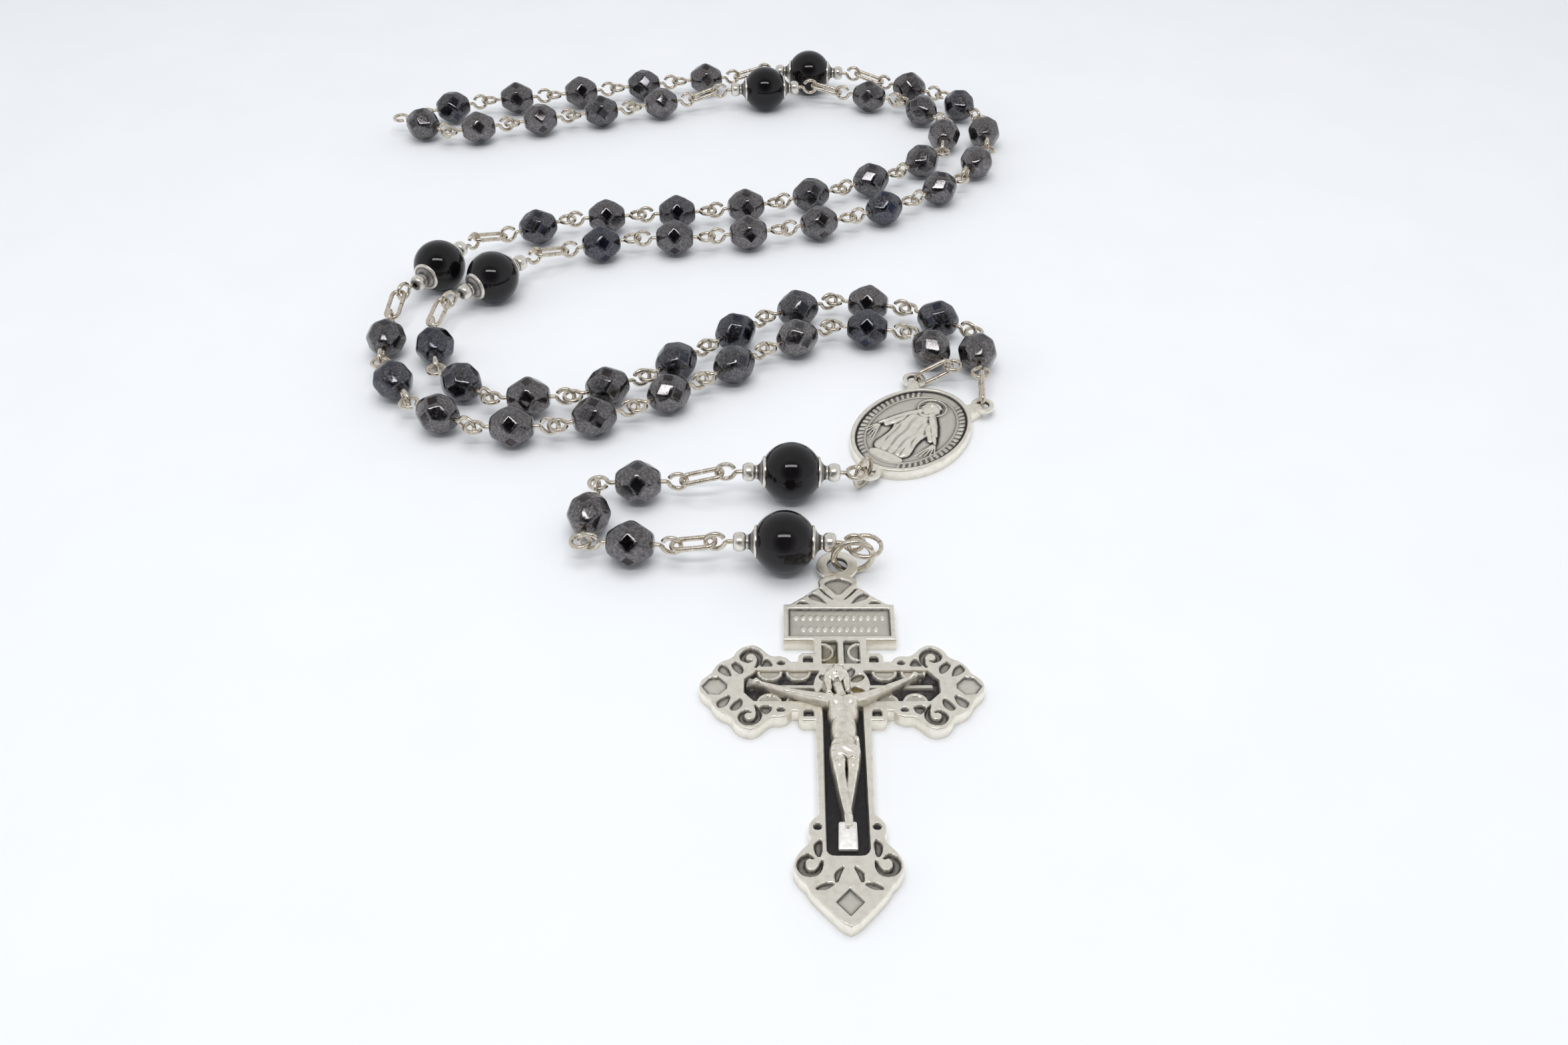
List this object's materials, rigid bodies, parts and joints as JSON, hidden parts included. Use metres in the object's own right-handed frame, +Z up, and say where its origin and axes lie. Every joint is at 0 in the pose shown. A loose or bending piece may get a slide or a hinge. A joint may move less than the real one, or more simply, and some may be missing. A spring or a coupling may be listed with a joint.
{
  "type": "rosary",
  "caption": "Prayer bead loop of dark faceted beads and round black beads on wire pins, with an oval centre medal, a short pendant and an ornate crucifix, laid out in an S.",
  "frame": {"origin": "on the table under the middle of the whole rosary's box", "axes": "+Z up from the table; +Y away from the crucifix along the S; +X to the right seen from the crucifix's end"},
  "size_m": [0.1118, 0.1948, 0.008],
  "materials": {
    "small_bead": "faceted dark metallic glass, satin",
    "large_bead": "polished black",
    "cap": "polished silver, darkened in the waist",
    "pin_wire": "bright silver wire",
    "link_wire": "bright silver wire",
    "medal_casting": "antiqued silver casting, worn bright on the high parts",
    "crucifix_casting": "antiqued silver casting, dark in the recesses",
    "corpus_casting": "antiqued silver casting"
  },
  "bodies": {
    "centre_medal": {"centre_medal": "medal_casting"},
    "medal_link_left": {"medal_link_left": "link_wire"},
    "decade_1_a": {"decade_1_a_beads": "small_bead", "decade_1_a_pins": "pin_wire"},
    "decade_1_b": {"decade_1_b_beads": "small_bead", "decade_1_b_pins": "pin_wire"},
    "our_father_1": {"our_father_1_bead": "large_bead", "our_father_1_caps_and_spacers": "cap", "our_father_1_pin": "pin_wire", "our_father_1_links": "link_wire"},
    "decade_2_a": {"decade_2_a_beads": "small_bead", "decade_2_a_pins": "pin_wire"},
    "decade_2_b": {"decade_2_b_beads": "small_bead", "decade_2_b_pins": "pin_wire"},
    "our_father_2": {"our_father_2_bead": "large_bead", "our_father_2_caps_and_spacers": "cap", "our_father_2_pin": "pin_wire", "our_father_2_links": "link_wire"},
    "decade_3_a": {"decade_3_a_beads": "small_bead", "decade_3_a_pins": "pin_wire"},
    "medal_link_right": {"medal_link_right": "link_wire"},
    "decade_5_b": {"decade_5_b_beads": "small_bead", "decade_5_b_pins": "pin_wire"},
    "decade_5_a": {"decade_5_a_beads": "small_bead", "decade_5_a_pins": "pin_wire"},
    "our_father_4": {"our_father_4_bead": "large_bead", "our_father_4_caps_and_spacers": "cap", "our_father_4_pin": "pin_wire", "our_father_4_links": "link_wire"},
    "decade_4_b": {"decade_4_b_beads": "small_bead", "decade_4_b_pins": "pin_wire"},
    "decade_4_a": {"decade_4_a_beads": "small_bead", "decade_4_a_pins": "pin_wire"},
    "our_father_3": {"our_father_3_bead": "large_bead", "our_father_3_caps_and_spacers": "cap", "our_father_3_pin": "pin_wire", "our_father_3_links": "link_wire"},
    "decade_3_b": {"decade_3_b_beads": "small_bead", "decade_3_b_pins": "pin_wire"},
    "medal_ring": {"medal_ring": "link_wire"},
    "our_father_5": {"our_father_5_bead": "large_bead", "our_father_5_caps_and_spacers": "cap", "our_father_5_pin": "pin_wire"},
    "pendant_link_1": {"pendant_link_1": "link_wire"},
    "hail_mary_1": {"hail_mary_1_beads": "small_bead", "hail_mary_1_pins": "pin_wire"},
    "hail_mary_2": {"hail_mary_2_beads": "small_bead", "hail_mary_2_pins": "pin_wire"},
    "hail_mary_3": {"hail_mary_3_beads": "small_bead", "hail_mary_3_pins": "pin_wire"},
    "pendant_link_2": {"pendant_link_2": "link_wire"},
    "our_father_6": {"our_father_6_bead": "large_bead", "our_father_6_caps_and_spacers": "cap", "our_father_6_pin": "pin_wire"},
    "end_ring": {"end_ring": "link_wire"},
    "jump_ring": {"jump_ring": "link_wire"},
    "crucifix": {"crucifix": "crucifix_casting", "corpus": "corpus_casting", "footrest": "crucifix_casting"}
  },
  "joints": [
    {"name": "medal_link_left_lift", "type": "hinge", "parent": "centre_medal", "child": "medal_link_left", "pos_m": [0.03654, -0.005, 0.00135], "axis": [0.9563, 0.2924, 0], "range_deg": [0, 8]},
    {"name": "decade_1_a_lift", "type": "hinge", "parent": "medal_link_left", "child": "decade_1_a", "pos_m": [0.03976, -0.00424, 0.00305], "axis": [0.9397, 0.342, 0], "range_deg": [0, 8]},
    {"name": "decade_1_b_lift", "type": "hinge", "parent": "decade_1_a", "child": "decade_1_b", "pos_m": [-0.00511, -0.01427, 0.00305], "axis": [0.5592, 0.829, 0], "range_deg": [0, 10]},
    {"name": "our_father_1_lift", "type": "hinge", "parent": "decade_1_b", "child": "our_father_1", "pos_m": [-0.04292, 0.0095, 0.00305], "axis": [0.9205, -0.3907, 0], "range_deg": [0, 10]},
    {"name": "decade_2_a_lift", "type": "hinge", "parent": "our_father_1", "child": "decade_2_a", "pos_m": [-0.02973, 0.03273, 0.00305], "axis": [0.5, -0.866, 0], "range_deg": [0, 10]},
    {"name": "decade_2_b_lift", "type": "hinge", "parent": "decade_2_a", "child": "decade_2_b", "pos_m": [0.02688, 0.04913, 0.00305], "axis": [0.9659, -0.2588, 0], "range_deg": [0, 12]},
    {"name": "our_father_2_lift", "type": "hinge", "parent": "decade_2_b", "child": "our_father_2", "pos_m": [0.02651, 0.08667, 0.00305], "axis": [-0.0523, 0.9986, 0], "range_deg": [0, 12]},
    {"name": "decade_3_a_lift", "type": "hinge", "parent": "our_father_2", "child": "decade_3_a", "pos_m": [-0.00061, 0.08378, 0.00305], "axis": [-0.309, 0.9511, 0], "range_deg": [0, 15]},
    {"name": "medal_link_right_lift", "type": "hinge", "parent": "centre_medal", "child": "medal_link_right", "pos_m": [0.04463, -0.01028, 0.00135], "axis": [-0.9976, -0.0698, 0], "range_deg": [-8, 0]},
    {"name": "decade_5_b_lift", "type": "hinge", "parent": "medal_link_right", "child": "decade_5_b", "pos_m": [0.04474, -0.00697, 0.00305], "axis": [-0.9925, -0.1219, 0], "range_deg": [-8, 0]},
    {"name": "decade_5_a_lift", "type": "hinge", "parent": "decade_5_b", "child": "decade_5_a", "pos_m": [0.00452, 0.0004, 0.00305], "axis": [-0.6428, -0.766, 0], "range_deg": [-10, 0]},
    {"name": "our_father_4_lift", "type": "hinge", "parent": "decade_5_a", "child": "our_father_4", "pos_m": [-0.03623, 0.00739, 0.00305], "axis": [-0.8387, 0.5446, 0], "range_deg": [-10, 0]},
    {"name": "decade_4_b_lift", "type": "hinge", "parent": "our_father_4", "child": "decade_4_b", "pos_m": [-0.01918, 0.02816, 0.00305], "axis": [-0.4848, 0.8746, 0], "range_deg": [-10, 0]},
    {"name": "decade_4_a_lift", "type": "hinge", "parent": "decade_4_b", "child": "decade_4_a", "pos_m": [0.03877, 0.04518, 0.00305], "axis": [-0.9336, 0.3584, 0], "range_deg": [-12, 0]},
    {"name": "our_father_3_lift", "type": "hinge", "parent": "decade_4_a", "child": "our_father_3", "pos_m": [0.03481, 0.09138, 0.00305], "axis": [-0.1392, -0.9903, 0], "range_deg": [-12, 0]},
    {"name": "decade_3_b_lift", "type": "hinge", "parent": "our_father_3", "child": "decade_3_b", "pos_m": [0.00766, 0.09357, 0.00305], "axis": [0.1908, -0.9816, 0], "range_deg": [-15, 0]},
    {"name": "medal_ring_swing", "type": "hinge", "parent": "centre_medal", "child": "medal_ring", "pos_m": [0.02781, -0.02641, 0.00232], "axis": [0, 0, 1], "range_deg": [-6, 40]},
    {"name": "our_father_5_swing", "type": "hinge", "parent": "medal_ring", "child": "our_father_5", "pos_m": [0.02603, -0.02905, 0.0034], "axis": [0, 0, 1], "range_deg": [-4, 10]},
    {"name": "pendant_link_1_swing", "type": "hinge", "parent": "our_father_5", "child": "pendant_link_1", "pos_m": [0.00766, -0.03027, 0.0046], "axis": [-1, 0, 0], "range_deg": [0, 12]},
    {"name": "hail_mary_1_swing", "type": "hinge", "parent": "pendant_link_1", "child": "hail_mary_1", "pos_m": [0.00377, -0.03032, 0.00305], "axis": [0, 0, 1], "range_deg": [-4, 8]},
    {"name": "hail_mary_2_swing", "type": "hinge", "parent": "hail_mary_1", "child": "hail_mary_2", "pos_m": [-0.00795, -0.03192, 0.00305], "axis": [-0.9945, 0.1045, 0], "range_deg": [0, 20]},
    {"name": "hail_mary_3_swing", "type": "hinge", "parent": "hail_mary_2", "child": "hail_mary_3", "pos_m": [-0.00783, -0.04224, 0.00305], "axis": [0.0698, 0.9976, 0], "range_deg": [-20, 0]},
    {"name": "pendant_link_2_swing", "type": "hinge", "parent": "hail_mary_3", "child": "pendant_link_2", "pos_m": [0.00364, -0.04303, 0.00305], "axis": [0.0523, 0.9986, 0], "range_deg": [-15, 0]},
    {"name": "our_father_6_swing", "type": "hinge", "parent": "pendant_link_2", "child": "our_father_6", "pos_m": [0.00673, -0.04323, 0.004], "axis": [0.0175, 0.9998, 0], "range_deg": [-15, 0]},
    {"name": "end_ring_swing", "type": "hinge", "parent": "our_father_6", "child": "end_ring", "pos_m": [0.02518, -0.04355, 0.004], "axis": [1, 0, 0], "range_deg": [-25, 0]},
    {"name": "jump_ring_swing", "type": "hinge", "parent": "end_ring", "child": "jump_ring", "pos_m": [0.02704, -0.04479, 0.004], "axis": [0, 0, 1], "range_deg": [0, 20]},
    {"name": "crucifix_swing", "type": "hinge", "parent": "jump_ring", "child": "crucifix", "pos_m": [0.02308, -0.04496, 0.00133], "axis": [1, 0, 0], "range_deg": [-22, 0]}
  ]
}
